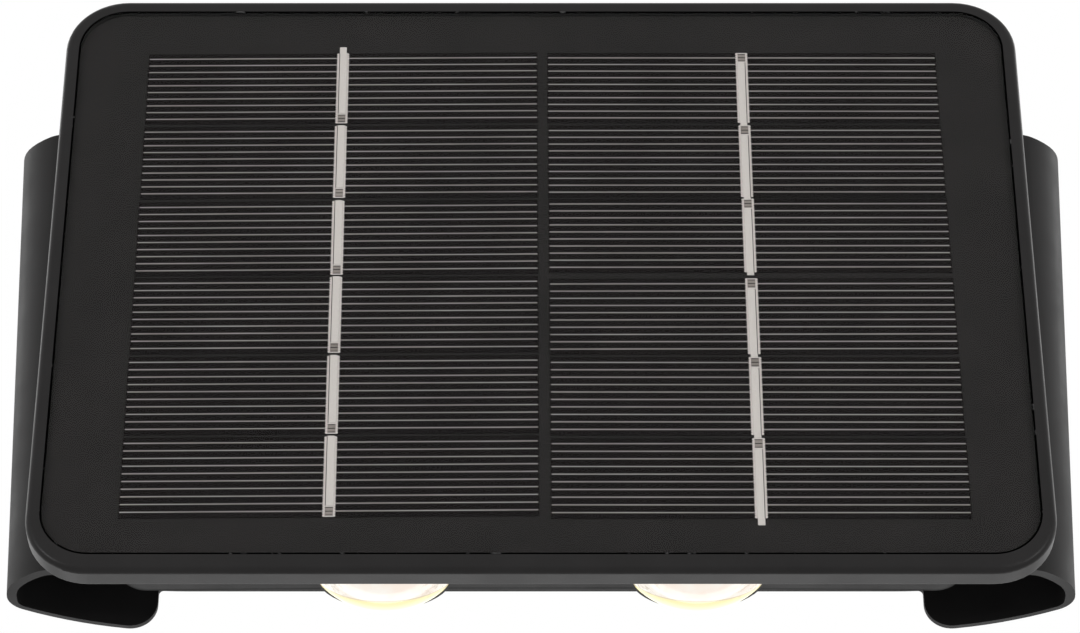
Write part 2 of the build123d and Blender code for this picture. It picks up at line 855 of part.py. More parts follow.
with BuildPart() as battery_cell:
    with BuildSketch(Plane.YZ.offset(-battery_length / 2)):
        with Locations((battery_y, 0)):
            Circle(cell_radius)
    extrude(amount=battery_length)
    fillet(battery_cell.edges(), battery_edge_round)
    with BuildSketch(Plane.YZ.offset(battery_length / 2)):
        with Locations((battery_y, 0)):
            Circle(battery_nub_radius)
    extrude(amount=battery_nub_length)
save(battery_cell.part, "battery_cell")

with BuildPart() as battery_cradle:
    with BuildSketch(facing(plate_inner_y)):
        Rectangle(
            2 * (cradle_inner_x + cradle_wall), 2 * (cell_radius + battery_fit + cradle_wall)
        )
    extrude(amount=cradle_height)
    with BuildSketch(Plane.YZ.offset(-cradle_inner_x)):
        with Locations((battery_y, 0)):
            Circle(cell_radius + battery_fit)
    extrude(amount=2 * cradle_inner_x, mode=Mode.SUBTRACT)
save(battery_cradle.part, "battery_cradle")

for name, side, gap in (
    ("contact_plus", 1, contact_gap - battery_nub_length),
    ("contact_minus", -1, contact_gap),
):
    with BuildPart() as contact:
        with BuildSketch(Plane.YZ.offset(side * cradle_inner_x)):
            with Locations((battery_y, 0)):
                Rectangle(contact_size, contact_size)
        extrude(amount=-side * contact_thickness)
        with BuildSketch(Plane.YZ.offset(side * (cradle_inner_x - contact_thickness))):
            with Locations((battery_y, 0)):
                Circle(battery_nub_radius)
        extrude(amount=-side * gap, taper=contact_taper)
    save(contact.part, f"battery_{name}")

# ---- Power switch -------------------------------------------------------------------------------

with BuildPart() as switch_body:
    with BuildSketch(facing(switch_back_y)):
        with Locations((0, switch_z)):
            RectangleRounded(switch_size, switch_size, switch_corner)
    extrude(amount=switch_depth)
    with BuildSketch(facing(switch_back_y)):
        with Locations((0, switch_z)):
            Circle(button_stem_radius + button_fit)
    extrude(amount=button_stem_length + button_travel, mode=Mode.SUBTRACT)
save(switch_body.part, "switch_body")

with BuildPart() as power_button:
    with BuildSketch(facing(-button_recess)):
        with Locations((0, switch_z)):
            Circle(button_radius)
    extrude(amount=-well_floor_y - button_recess + button_gap)
    fillet(power_button.edges().sort_by(Axis.Y)[-1], button_edge_round)
    for radius, length in (
        (button_flange_radius, button_flange_height),
        (button_stem_radius, button_flange_height + button_stem_length),
    ):
        with BuildSketch(facing(well_floor_y - button_gap)):
            with Locations((0, switch_z)):
                Circle(radius)
        extrude(amount=length)
save(power_button.part, "power_button")

with BuildPart() as button_seal:
    with BuildSketch(facing(-well_depth)):
        with Locations((0, switch_z)):
            Circle(button_radius + button_fit + switch_seal_width)
            Circle(button_radius + button_fit, mode=Mode.SUBTRACT)
    extrude(amount=-switch_seal_height)
save(button_seal.part, "button_seal")

# ---- Wires --------------------------------------------------------------------------------------


def wire_pair(route, spread):
    """Two wires side by side along the same bent route, added to the open part."""
    for side in sides.values():
        shifted = [Vector(*point) + Vector(*spread) * (side / 2) for point in route]
        with BuildLine() as path:
            FilletPolyline(*shifted, radius=wire_bend)
        line = path.line
        with BuildSketch(Plane(origin=line @ 0, z_dir=line % 0)) as section:
            Circle(wire_radius)
        sweep(sections=section.sketch, path=line)


for name, (route, spread) in wire_routes.items():
    with BuildPart() as wires:
        wire_pair(route, spread)
    save(wires.part, name)
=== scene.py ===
"""Looks of the solar fence light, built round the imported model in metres.

Seen from the front, +X is right, +Y goes into the wall and +Z is up.
"""

import json
import math
import random

import bmesh
import bpy
from mathutils import Matrix, Vector


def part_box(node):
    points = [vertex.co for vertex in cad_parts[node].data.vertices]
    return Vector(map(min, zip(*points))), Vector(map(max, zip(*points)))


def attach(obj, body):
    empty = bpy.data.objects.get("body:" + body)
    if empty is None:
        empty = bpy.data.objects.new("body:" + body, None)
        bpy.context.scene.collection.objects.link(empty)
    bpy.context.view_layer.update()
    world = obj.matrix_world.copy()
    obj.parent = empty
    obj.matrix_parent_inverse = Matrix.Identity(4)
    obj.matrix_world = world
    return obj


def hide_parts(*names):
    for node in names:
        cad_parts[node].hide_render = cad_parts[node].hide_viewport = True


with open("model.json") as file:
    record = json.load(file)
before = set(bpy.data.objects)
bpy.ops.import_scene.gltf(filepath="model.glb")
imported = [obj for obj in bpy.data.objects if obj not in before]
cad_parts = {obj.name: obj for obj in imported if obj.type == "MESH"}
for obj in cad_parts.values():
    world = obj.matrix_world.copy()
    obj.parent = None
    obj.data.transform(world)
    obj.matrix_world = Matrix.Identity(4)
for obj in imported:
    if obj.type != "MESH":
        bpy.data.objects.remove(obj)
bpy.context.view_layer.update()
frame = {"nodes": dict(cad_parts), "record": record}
nodes = frame["nodes"]
MM = 0.001

# ---- Camera: the photograph's view, from below at 35 degrees off the panel's normal -------------

PHOTO_WIDTH_PX = 1080
FOCAL_PX = 3950.0
OBJECT_CENTRE_PX = 541.0  # column where the middle of the panel stands
SENSOR_WIDTH = 36.0  # in millimetres, as the camera takes it
VIEW_RISE = math.radians(35.0)
CAMERA_DISTANCE = 0.6049
AIM_Z = -0.00855
CLIP_NEAR = 0.01
CLIP_FAR = 20.0

panel_face_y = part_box("panel_frame")[0].y


def make_camera():
    """Places the camera on the line that looks up at the panel's face."""
    camera = bpy.data.objects.new("camera", bpy.data.cameras.new("camera"))
    bpy.context.scene.collection.objects.link(camera)
    camera.data.sensor_width = SENSOR_WIDTH
    camera.data.lens = FOCAL_PX / PHOTO_WIDTH_PX * SENSOR_WIDTH
    camera.data.clip_start = CLIP_NEAR
    camera.data.clip_end = CLIP_FAR
    camera.data.shift_x = (PHOTO_WIDTH_PX / 2 - OBJECT_CENTRE_PX) / PHOTO_WIDTH_PX
    forward = Vector((0, math.cos(VIEW_RISE), math.sin(VIEW_RISE)))
    aim = Vector((0, panel_face_y, AIM_Z))
    camera.location = aim - forward * CAMERA_DISTANCE
    camera.rotation_mode = "QUATERNION"
    camera.rotation_quaternion = forward.to_track_quat("-Z", "Y")
    bpy.context.scene.camera = camera


make_camera()

# ---- Materials ----------------------------------------------------------------------------------

# Plastics and rubbers with a fine grain: dark and light colour, roughness from and to, specular
GRAINED = {
    "housing_plastic": ((0.0125, 0.0118, 0.0118), (0.0155, 0.0147, 0.0147), 0.45, 0.55, 0.18),
    "cover_plastic": ((0.018, 0.0175, 0.0177), (0.022, 0.0213, 0.0215), 0.42, 0.54, 0.15),
    "frame_plastic": ((0.0175, 0.0165, 0.0165), (0.0205, 0.0195, 0.0195), 0.28, 0.36, 0.15),
    "cradle_plastic": ((0.03, 0.03, 0.032), (0.04, 0.04, 0.042), 0.45, 0.6, 0.3),
    "switch_plastic": ((0.02, 0.02, 0.022), (0.03, 0.03, 0.032), 0.4, 0.55, 0.3),
    "button_plastic": ((0.05, 0.05, 0.053), (0.065, 0.065, 0.068), 0.4, 0.55, 0.3),
    "component_black": ((0.015, 0.015, 0.015), (0.025, 0.025, 0.025), 0.5, 0.65, 0.3),
    "seal_rubber": ((0.012, 0.012, 0.012), (0.02, 0.02, 0.02), 0.7, 0.85, 0.3),
    "adhesive_foam": ((0.02, 0.02, 0.02), (0.03, 0.03, 0.03), 0.8, 0.95, 0.3),
    "wire_insulation": ((0.35, 0.02, 0.015), (0.45, 0.03, 0.02), 0.35, 0.5, 0.3),
    "battery_sleeve": ((0.03, 0.13, 0.3), (0.04, 0.16, 0.35), 0.22, 0.32, 0.3),
    "circuit_board": ((0.01, 0.1, 0.04), (0.02, 0.15, 0.06), 0.3, 0.45, 0.3),
    "led_phosphor": ((0.9, 0.68, 0.2), (0.95, 0.75, 0.28), 0.3, 0.4, 0.3),
}
# The flat layers under the glass, which have no grain: the same values
FLAT = {
    "backboard_laminate": ((0.029, 0.028, 0.028), (0.034, 0.0325, 0.0325), 0.5, 0.6, 0.0),
    "cell_silicon": ((0.0075, 0.0062, 0.0062), (0.0105, 0.0088, 0.0088), 0.5, 0.6, 0.0),
    "finger_silver": ((0.45, 0.43, 0.43), (0.56, 0.54, 0.54), 0.5, 0.6, 0.2),
    "busbar_silver": ((0.8, 0.77, 0.75), (0.9, 0.87, 0.85), 0.45, 0.55, 0.3),
    "pad_grey": ((0.3, 0.28, 0.26), (0.45, 0.42, 0.39), 0.45, 0.55, 0.3),
}
# Plated metals: colour, roughness from and to
METALS = {
    "ribbon_silver": ((0.7, 0.69, 0.665), 0.3, 0.45),
    "screw_steel": ((0.3, 0.3, 0.32), 0.3, 0.45),
    "contact_nickel": ((0.65, 0.63, 0.58), 0.2, 0.35),
}

# Noises: features per metre, detail, roughness
CLOUDS = (90.0, 4.0, 0.6)
GRAIN = (6000.0, 2.0, 0.5)
BRUSHING = (2500.0, 3.0, 0.6)
SEALANT_RUNS = (420.0, 2.0, 0.6)
SEALANT_LUMPS = (1500.0, 2.0, 0.5)
LENS_MOTTLE = (260.0, 2.0, 0.6)
LENS_SPECKLES = (900.0, 3.0, 0.7)
NOISE_LOW = 0.35  # most of a noise lies between these
NOISE_HIGH = 0.65
GRAIN_HEIGHT = 0.004 * MM
BRUSHING_HEIGHT = 0.004 * MM

SEALANT_BLACK = (0.002, 0.002, 0.002, 1)
SEALANT_ROUGHNESS = 0.25
SEALANT_HEIGHT = 0.2 * MM
GLINT_SPECULAR = 0.9
GLINT_START = 0.62
GLINT_FULL = 0.68

GLASS_TINT = (0.95, 0.94, 0.935, 1)
GLASS_ROUGHNESS = 0.1
GLASS_MIRROR_IOR = 1.22  # below real glass, because the lamp hangs in an open white studio

# The lens colours and glow strength below are a painted glow: emission that paints the light seen
# in the clear lens, which is no lamp
LENS_BODY = (0.1, 0.095, 0.08, 1)
LENS_ROUGHNESS = 0.12
PAINTED_LENS_GLOW = 0.86
LENS_CREAM = (1.0, 0.87, 0.77)
LENS_WHITE = (1.0, 0.96, 0.89)
LENS_YELLOW = (1.0, 0.9, 0.4)
LENS_PALE = (1.0, 0.95, 0.7)
LENS_LINE = (0.62, 0.5, 0.25)
LINE_STRENGTH = 0.8
CRESCENT_START = 0.8 * MM  # behind the lens axis
CRESCENT_CURVE = 24.0  # per metre
CRESCENT_LINE = 0.35 * MM
CRESCENT_FADE = 5.0 * MM
SPECKLE_COLOUR = (0.46, 0.37, 0.24)
SPECKLE_START = 0.5
SPECKLE_FULL = 0.6
SPECKLE_STRENGTH = 0.7
EDGE_START = 4.5 * MM  # from the lens axis
EDGE_END = 9.0 * MM


def new_material(name, **sockets):
    """A Principled material with the given constant sockets, and its shader."""
    mat = bpy.data.materials.new(name)
    mat.use_nodes = True
    shader = mat.node_tree.nodes["Principled BSDF"]
    for socket, value in sockets.items():
        shader.inputs[socket.replace("_", " ")].default_value = value
    return mat, shader


def add_node(owner, kind, **settings):
    """A node of a material or world, with its properties and unlinked inputs set."""
    node = owner.node_tree.nodes.new(kind)
    for key, value in settings.items():
        if hasattr(node, key):
            setattr(node, key, value)
        else:
            node.inputs[key].default_value = value
    return node


def link(owner, source, target):
    owner.node_tree.links.new(source, target)


def calc(owner, operation, a, b=0.0):
    """A math node on two signals or numbers."""
    node = add_node(owner, "ShaderNodeMath", operation=operation)
    for socket, value in zip(node.inputs, (a, b)):
        if isinstance(value, (int, float)):
            socket.default_value = value
        else:
            link(owner, value, socket)
    return node.outputs[0]


def ramp(owner, source, low, high, from_low=NOISE_LOW, from_high=NOISE_HIGH):
    """Carries a signal from one span of values over to another."""
    node = add_node(owner, "ShaderNodeMapRange")
    node.inputs["From Min"].default_value = from_low
    node.inputs["From Max"].default_value = from_high
    node.inputs["To Min"].default_value = low
    node.inputs["To Max"].default_value = high
    link(owner, source, node.inputs["Value"])
    return node.outputs["Result"]


def noise(mat, scale, detail, roughness):
    """Noise in the object's own space."""
    place = add_node(mat, "ShaderNodeTexCoord")
    texture = add_node(
        mat, "ShaderNodeTexNoise", Scale=scale, Detail=detail, Roughness=roughness
    )
    link(mat, place.outputs["Object"], texture.inputs["Vector"])
    return texture.outputs["Fac"]


def blend(mat, source, first, second):
    """Blends two colours, each a signal or a plain colour, by a 0 to 1 signal."""
    node = add_node(mat, "ShaderNodeMix", data_type="RGBA")
    sockets = [socket for socket in node.inputs if socket.type == "RGBA"]
    for socket, value in zip(sockets, (first, second)):
        if isinstance(value, tuple):
            socket.default_value = (*value, 1)
        else:
            link(mat, value, socket)
    link(mat, source, node.inputs["Factor"])
    return [socket for socket in node.outputs if socket.type == "RGBA"][0]


def bump(mat, shader, source, height):
    """Surface relief of the given height."""
    node = add_node(mat, "ShaderNodeBump", Strength=1.0, Distance=height)
    link(mat, source, node.inputs["Height"])
    link(mat, node.outputs["Normal"], shader.inputs["Normal"])


def mix_shaders(mat, share, first, second):
    """Gives the surface a blend of two shaders, with the second's share as a signal."""
    mix = add_node(mat, "ShaderNodeMixShader")
    link(mat, share, mix.inputs[0])
    link(mat, first.outputs[0], mix.inputs[1])
    link(mat, second.outputs[0], mix.inputs[2])
    link(mat, mix.outputs[0], mat.node_tree.nodes["Material Output"].inputs["Surface"])


def cloudy(name, dark, light, rough_low, rough_high, specular, grained=False):
    """Plastic, rubber or print with faint clouds in its colour and gloss."""
    mat, shader = new_material(name, Specular_IOR_Level=specular)
    clouds = noise(mat, *CLOUDS)
    link(mat, blend(mat, ramp(mat, clouds, 0, 1), dark, light), shader.inputs["Base Color"])
    link(mat, ramp(mat, clouds, rough_low, rough_high), shader.inputs["Roughness"])
    if grained:
        bump(mat, shader, noise(mat, *GRAIN), GRAIN_HEIGHT)
    return mat


def metal(name, colour, rough_low, rough_high):
    """Plated metal with a faint brushed variation."""
    mat, shader = new_material(name, Metallic=1.0, Base_Color=(*colour, 1))
    streaks = noise(mat, *BRUSHING)
    link(mat, ramp(mat, streaks, rough_low, rough_high), shader.inputs["Roughness"])
    bump(mat, shader, streaks, BRUSHING_HEIGHT)
    return mat


def glinting_sealant():
    """Black sealant, matt but for the few places where it has run smooth."""
    mat, shader = new_material(
        "sealant", Roughness=SEALANT_ROUGHNESS, Base_Color=SEALANT_BLACK
    )
    runs = noise(mat, *SEALANT_RUNS)
    smooth = ramp(mat, runs, 0, GLINT_SPECULAR, GLINT_START, GLINT_FULL)
    link(mat, smooth, shader.inputs["Specular IOR Level"])
    bump(mat, shader, noise(mat, *SEALANT_LUMPS), SEALANT_HEIGHT)
    return mat


def clear_glass():
    """Thin flat cover glass: see-through, with a plain mirror on its outer faces only."""
    mat, shader = new_material("cover_glass")
    mat.node_tree.nodes.remove(shader)
    through = add_node(mat, "ShaderNodeBsdfTransparent", Color=GLASS_TINT)
    mirror = add_node(mat, "ShaderNodeBsdfGlossy", Roughness=GLASS_ROUGHNESS)
    fresnel = add_node(mat, "ShaderNodeFresnel", IOR=GLASS_MIRROR_IOR)
    side = add_node(mat, "ShaderNodeNewGeometry")
    outer = calc(mat, "SUBTRACT", 1.0, side.outputs["Backfacing"])
    share = calc(mat, "MULTIPLY", fresnel.outputs[0], outer)
    mix_shaders(mat, share, through, mirror)
    return mat


def painted_glow_lens():
    """Clear lens plastic with a painted glow: its emission paints the light seen in the lens,
    cream in the middle, crescent of yellow on the wall side and a painted mottled edge where the
    moulding bends the light."""
    mat, shader = new_material(
        "lens_plastic",
        Roughness=LENS_ROUGHNESS,
        Base_Color=LENS_BODY,
        Emission_Strength=PAINTED_LENS_GLOW,
    )
    place = add_node(mat, "ShaderNodeTexCoord")
    split = add_node(mat, "ShaderNodeSeparateXYZ")
    link(mat, place.outputs["Object"], split.inputs[0])
    lens_low, lens_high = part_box("lens_lower_right")
    axis = (lens_low + lens_high) / 2
    across = calc(mat, "SUBTRACT", calc(mat, "ABSOLUTE", split.outputs["X"]), axis.x)
    back = calc(mat, "SUBTRACT", split.outputs["Y"], axis.y)
    # How far a point lies past the curved line where the crescent starts
    sag = calc(mat, "MULTIPLY", calc(mat, "MULTIPLY", across, across), CRESCENT_CURVE)
    past = calc(mat, "SUBTRACT", calc(mat, "SUBTRACT", back, CRESCENT_START), sag)
    cream = blend(mat, ramp(mat, noise(mat, *LENS_MOTTLE), 0, 1), LENS_CREAM, LENS_WHITE)
    crescent = blend(mat, ramp(mat, past, 0, 1, 0.0, CRESCENT_FADE), LENS_YELLOW, LENS_PALE)
    glow = blend(mat, ramp(mat, past, 0, 1, 0.0, CRESCENT_LINE), cream, crescent)
    beside = calc(mat, "ABSOLUTE", past)
    line = ramp(mat, beside, LINE_STRENGTH, 0, 0.0, CRESCENT_LINE)
    glow = blend(mat, line, glow, LENS_LINE)
    speckles = ramp(mat, noise(mat, *LENS_SPECKLES), 0, 1, SPECKLE_START, SPECKLE_FULL)
    outward = calc(mat, "ABSOLUTE", across)
    edge = ramp(mat, outward, 0, SPECKLE_STRENGTH, EDGE_START, EDGE_END)
    glow = blend(mat, calc(mat, "MULTIPLY", speckles, edge), glow, SPECKLE_COLOUR)
    # Painted glow: the emission colour paints the light seen in the lens
    link(mat, glow, shader.inputs["Emission Color"])
    return mat


def build_materials():
    """Every slot's material, and the finishes of the finer pieces."""
    made = {
        "cover_glass": clear_glass(),
        "lens_plastic": painted_glow_lens(),
        "sealant": glinting_sealant(),
    }
    for name, finish in GRAINED.items():
        made[name] = cloudy(name, *finish, grained=True)
    for name, finish in FLAT.items():
        made[name] = cloudy(name, *finish)
    for name, finish in METALS.items():
        made[name] = metal(name, *finish)
    return made


materials = build_materials()
for row in frame["record"]["subparts"]:
    node = nodes[row["node"]]
    node.data.materials.clear()
    node.data.materials.append(materials[row["material_slot"]])

# ---- Pieces -------------------------------------------------------------------------------------

SMOOTH_LIMIT = math.radians(28.0)
WELD_DISTANCE = 0.001 * MM


def new_piece(name, bm, slot, replaced=(), finish=None):
    """Turns a bmesh into a piece that rides on the body, with its finish and the nodes that it
    stands for. The finish is the slot's own unless another is named."""
    mesh = bpy.data.meshes.new(name)
    bm.to_mesh(mesh)
    bm.free()
    mesh.materials.append(materials[finish or slot])
    piece = bpy.data.objects.new(name, mesh)
    bpy.context.scene.collection.objects.link(piece)
    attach(piece, "root")
    if replaced:
        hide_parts(*replaced)
    return piece


def add_wall(bm, first, second):
    """Joins two closed rings of as many vertices with a wall of quads."""
    for step, vert in enumerate(first):
        after = (step + 1) % len(first)
        bm.faces.new((vert, first[after], second[after], second[step]))


def smooth_by_angle(obj):
    """Shades an object smooth across its gentle edges and leaves the sharp ones."""
    group = bpy.data.node_groups.new(f"smooth_{obj.name}", "GeometryNodeTree")
    for in_out in ("INPUT", "OUTPUT"):
        group.interface.new_socket(
            "Geometry", in_out=in_out, socket_type="NodeSocketGeometry"
        )
    entry = group.nodes.new("NodeGroupInput")
    plain = group.nodes.new("GeometryNodeRemoveAttribute")
    plain.inputs["Name"].default_value = "custom_normal"
    weld = group.nodes.new("GeometryNodeMergeByDistance")
    weld.inputs["Distance"].default_value = WELD_DISTANCE
    angle = group.nodes.new("GeometryNodeInputMeshEdgeAngle")
    gentle = group.nodes.new("FunctionNodeCompare")
    gentle.operation = "LESS_THAN"
    gentle.inputs["B"].default_value = SMOOTH_LIMIT
    faces = group.nodes.new("GeometryNodeSetShadeSmooth")
    edges = group.nodes.new("GeometryNodeSetShadeSmooth")
    edges.domain = "EDGE"
    leave = group.nodes.new("NodeGroupOutput")
    chain = (entry, plain, weld, faces, edges, leave)
    for before, after in zip(chain, chain[1:]):
        group.links.new(before.outputs[0], after.inputs[0])
    group.links.new(angle.outputs["Unsigned Angle"], gentle.inputs["A"])
    group.links.new(gentle.outputs[0], edges.inputs["Shade Smooth"])
    obj.modifiers.new("smooth", "NODES").node_group = group


for name in ("front_housing", "rear_cover"):
    smooth_by_angle(nodes[name])

# Cells: two columns of six, which lie a little uneven under the glass

CELL_ROWS = 6
CELL_LENGTH = 62.4 * MM
CELL_HEIGHT = 14.25 * MM
CELL_EDGE = 0.03 * MM
# How far each cell lies above its place in an even grid, in mm, from the top row down. The left
# column is -1 and the right is 1.
CELL_LIFT = {-1: (0.4, 0.4, 0.33, 0.45, 0.45, 0.5), 1: (0.5, 0.55, 0.8, 0.2, 0.22, 0.23)}
# Column centres at the top and bottom rows, in mm, and how the rows lean
COLUMN_TOP = {-1: -31.75, 1: 32.2}
COLUMN_BOTTOM = {-1: -31.5, 1: 32.65}
ROW_LEAN = {-1: math.radians(0.4), 1: math.radians(0.05)}
ROW_SCATTER = math.radians(0.12)
SCATTER_SEED = 11
BAR_SEGMENTS = 2
BAR_PROFILE = 0.5
FINGERS = 10
FINGER_PITCH = 1.355 * MM
FINGER_WIDTH = 0.19 * MM
FINGER_SHORT = 0.15 * MM  # from a finger's end to the cell's
FINGER_DEPTH = 0.012 * MM
BUSBAR_HALF = 0.83 * MM
BUSBAR_TOOTH = 0.17 * MM
TEETH_PER_PITCH = 3
TOOTH_STEPS = 4
BUSBAR_DEPTH = 0.015 * MM
RIBBON_WIDTH = 1.2 * MM
RIBBON_OFFSET = 0.1 * MM  # towards the middle of the panel
RIBBON_SLIT = 0.1 * MM  # dark strip of the cell finish along the ribbon's outer edge
RIBBON_ROUND = 0.02 * MM
TAB_WIDTH = 1.1 * MM
END_TAB = 1.2 * MM
ROW_TAB = {-1: 0.1 * MM, 1: 0.55 * MM}
PATCH_HEIGHT = 2.0 * MM  # of the busbar's end that the ribbon leaves bare
PATCH_RIM = 0.25 * MM
PATCH_BARS = 3
PATCH_BAR = 0.14 * MM
PAD_DEPTH = 0.004 * MM

cells_low, cells_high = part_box("solar_cells")
glass_low, glass_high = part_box("solar_glass")


def cell_places():
    """Where each cell lies: its column's side, its row, and the frame at the middle of its face,
    with x along the cell, y into the panel and z up the cell."""
    rng = random.Random(SCATTER_SEED)
    middle = (cells_low.z + cells_high.z) / 2
    pitch = (cells_high.z - cells_low.z - CELL_HEIGHT) / (CELL_ROWS - 1)
    for side in (-1, 1):
        for row in range(CELL_ROWS):
            share = row / (CELL_ROWS - 1)
            x = (COLUMN_TOP[side] * (1 - share) + COLUMN_BOTTOM[side] * share) * MM
            z = middle + pitch * ((CELL_ROWS - 1) / 2 - row) + CELL_LIFT[side][row] * MM
            lean = ROW_LEAN[side] + rng.uniform(-ROW_SCATTER, ROW_SCATTER)
            place = Matrix.Translation((x, cells_low.y, z)) @ Matrix.Rotation(-lean, 4, "Y")
            yield side, row, place


def add_bar(bm, place, centre, size, round_off=0.0):
    """A thin bar in a cell's own frame."""
    matrix = place @ Matrix.Translation(centre) @ Matrix.Diagonal((*size, 1))
    made = bmesh.ops.create_cube(bm, size=1, matrix=matrix)
    if round_off:
        edges = {edge for vert in made["verts"] for edge in vert.link_edges}
        bmesh.ops.bevel(
            bm,
            geom=list(edges),
            offset=round_off,
            segments=BAR_SEGMENTS,
            affect="EDGES",
            profile=BAR_PROFILE,
        )


def add_busbar(bm, place):
    """The printed bar up a cell's middle, whose two edges run in small scallops."""
    low = CELL_EDGE - CELL_HEIGHT / 2
    high = CELL_HEIGHT / 2 - CELL_EDGE
    steps = round((high - low) / FINGER_PITCH * TEETH_PER_PITCH) * TOOTH_STEPS
    edges = {-1: [], 1: []}
    for step in range(steps + 1):
        z = low + (high - low) * step / steps
        scallop = abs(math.sin(math.pi * step / TOOTH_STEPS))
        for side in (-1, 1):
            edges[side].append((side * (BUSBAR_HALF + BUSBAR_TOOTH * scallop), z))
    rings = []
    for y in (-BUSBAR_DEPTH, 0):
        outline = edges[1] + edges[-1][::-1]
        rings.append([bm.verts.new(place @ Vector((x, y, z))) for x, z in outline])
    for ring, order in zip(rings, (1, -1)):
        for step in range(steps):
            quad = [ring[step], ring[step + 1], ring[-2 - step], ring[-1 - step]]
            bm.faces.new(quad[::order])
    add_wall(bm, rings[1], rings[0])


def build_cells():
    """Cells, their printed fingers and busbars, and the ribbons soldered along them."""
    cells, fingers, busbars, pads, slits, ribbons = (bmesh.new() for _ in range(6))
    cell_depth = cells_high.y - cells_low.y
    cell_size = (CELL_LENGTH, cell_depth, CELL_HEIGHT)
    finger_size = (CELL_LENGTH - 2 * FINGER_SHORT, FINGER_DEPTH, FINGER_WIDTH)
    pad_height = PATCH_HEIGHT - 2 * PATCH_RIM
    pad_y = -BUSBAR_DEPTH - PAD_DEPTH / 2
    ribbon_length = CELL_HEIGHT - PATCH_HEIGHT
    ribbon_depth = cells_low.y - glass_high.y - 2 * BUSBAR_DEPTH
    ribbon_size = (RIBBON_WIDTH, ribbon_depth, ribbon_length)
    ribbon_y = -BUSBAR_DEPTH - ribbon_depth / 2
    for side, row, place in cell_places():
        add_bar(cells, place, (0, cell_depth / 2, 0), cell_size, CELL_EDGE)
        for finger in range(FINGERS):
            z = (finger - (FINGERS - 1) / 2) * FINGER_PITCH
            add_bar(fingers, place, (0, -FINGER_DEPTH / 2, z), finger_size)
        add_busbar(busbars, place)
        # The bare patch is at the foot of the left column's cells and the head of the right's
        pad_z = side * (CELL_HEIGHT - PATCH_HEIGHT) / 2
        add_bar(pads, place, (0, pad_y, pad_z), (RIBBON_WIDTH, PAD_DEPTH, pad_height))
        for bar in range(PATCH_BARS):
            z = pad_z + (bar / (PATCH_BARS - 1) - 0.5) * (pad_height - PATCH_BAR)
            size = (RIBBON_WIDTH, PAD_DEPTH, PATCH_BAR)
            add_bar(slits, place, (0, pad_y - PAD_DEPTH, z), size)
        # The ribbon covers the rest, with a tab past the cell's other end
        ribbon_x = -side * RIBBON_OFFSET
        ribbon_z = -side * PATCH_HEIGHT / 2
        slit_x = ribbon_x + side * (RIBBON_WIDTH + RIBBON_SLIT) / 2
        size = (RIBBON_SLIT, PAD_DEPTH, ribbon_length)
        add_bar(slits, place, (slit_x, pad_y, ribbon_z), size)
        add_bar(ribbons, place, (ribbon_x, ribbon_y, ribbon_z), ribbon_size, RIBBON_ROUND)
        last = row == (CELL_ROWS - 1 if side == 1 else 0)
        reach = END_TAB if last else ROW_TAB[side]
        tab_z = -side * (CELL_HEIGHT + reach) / 2
        size = (TAB_WIDTH, ribbon_depth, reach)
        add_bar(ribbons, place, (0, ribbon_y, tab_z), size, RIBBON_ROUND)
    new_piece("cells", cells, "cell_silicon", ["solar_cells"])
    new_piece("cell_fingers", fingers, "ribbon_silver", finish="finger_silver")
    new_piece("cell_busbars", busbars, "ribbon_silver", finish="busbar_silver")
    new_piece("solder_pads", pads, "ribbon_silver", finish="pad_grey")
    new_piece("busbar_slits", slits, "cell_silicon")
    new_piece("ribbons", ribbons, "ribbon_silver", ["cell_ribbons"])


build_cells()

# Screws that close the back: round heads with a cross recess

HEAD_HEIGHT = 1.8 * MM
HEAD_RADIUS = 2.8 * MM
HEAD_ROUND = 0.35 * MM
HEAD_STEPS = 4
SHANK_RADIUS = 1.45 * MM
THREAD_PITCH = 1.1 * MM
THREAD_DEPTH = 0.22 * MM
TIP_LENGTH = 2.0 * MM
TIP_RADIUS = 0.22 * MM
CROSS_REACH = 1.55 * MM
CROSS_HALF = 0.32 * MM
CROSS_DEPTH = 1.1 * MM
CROSS_TAPER = 0.6  # width at the foot over width at the face
SCREW_SEGMENTS = 40


def screw_profile(length):
    """The screw's outline from its face to its tip, as pairs of radius and y."""
    profile = []
    for step in range(HEAD_STEPS + 1):
        turn = math.pi / 2 * step / HEAD_STEPS
        radius = HEAD_RADIUS - HEAD_ROUND * (1 - math.sin(turn))
        profile.append((radius, -HEAD_ROUND * (1 - math.cos(turn))))
    profile += [(HEAD_RADIUS, -HEAD_HEIGHT), (SHANK_RADIUS, -HEAD_HEIGHT)]
    end = length - TIP_LENGTH
    depth = HEAD_HEIGHT + THREAD_PITCH
    while depth < end:
        profile.append((SHANK_RADIUS - THREAD_DEPTH, -depth))
        profile.append((SHANK_RADIUS, -depth - THREAD_PITCH / 2))
        depth += THREAD_PITCH
    return profile + [(SHANK_RADIUS - THREAD_DEPTH, -end), (TIP_RADIUS, -length)]


def add_ring(bm, place, radius, y):
    """A ring of vertices round the local Y axis."""
    ring = []
    for step in range(SCREW_SEGMENTS):
        turn = math.tau * step / SCREW_SEGMENTS
        point = Vector((radius * math.cos(turn), y, radius * math.sin(turn)))
        ring.append(bm.verts.new(place @ point))
    return ring


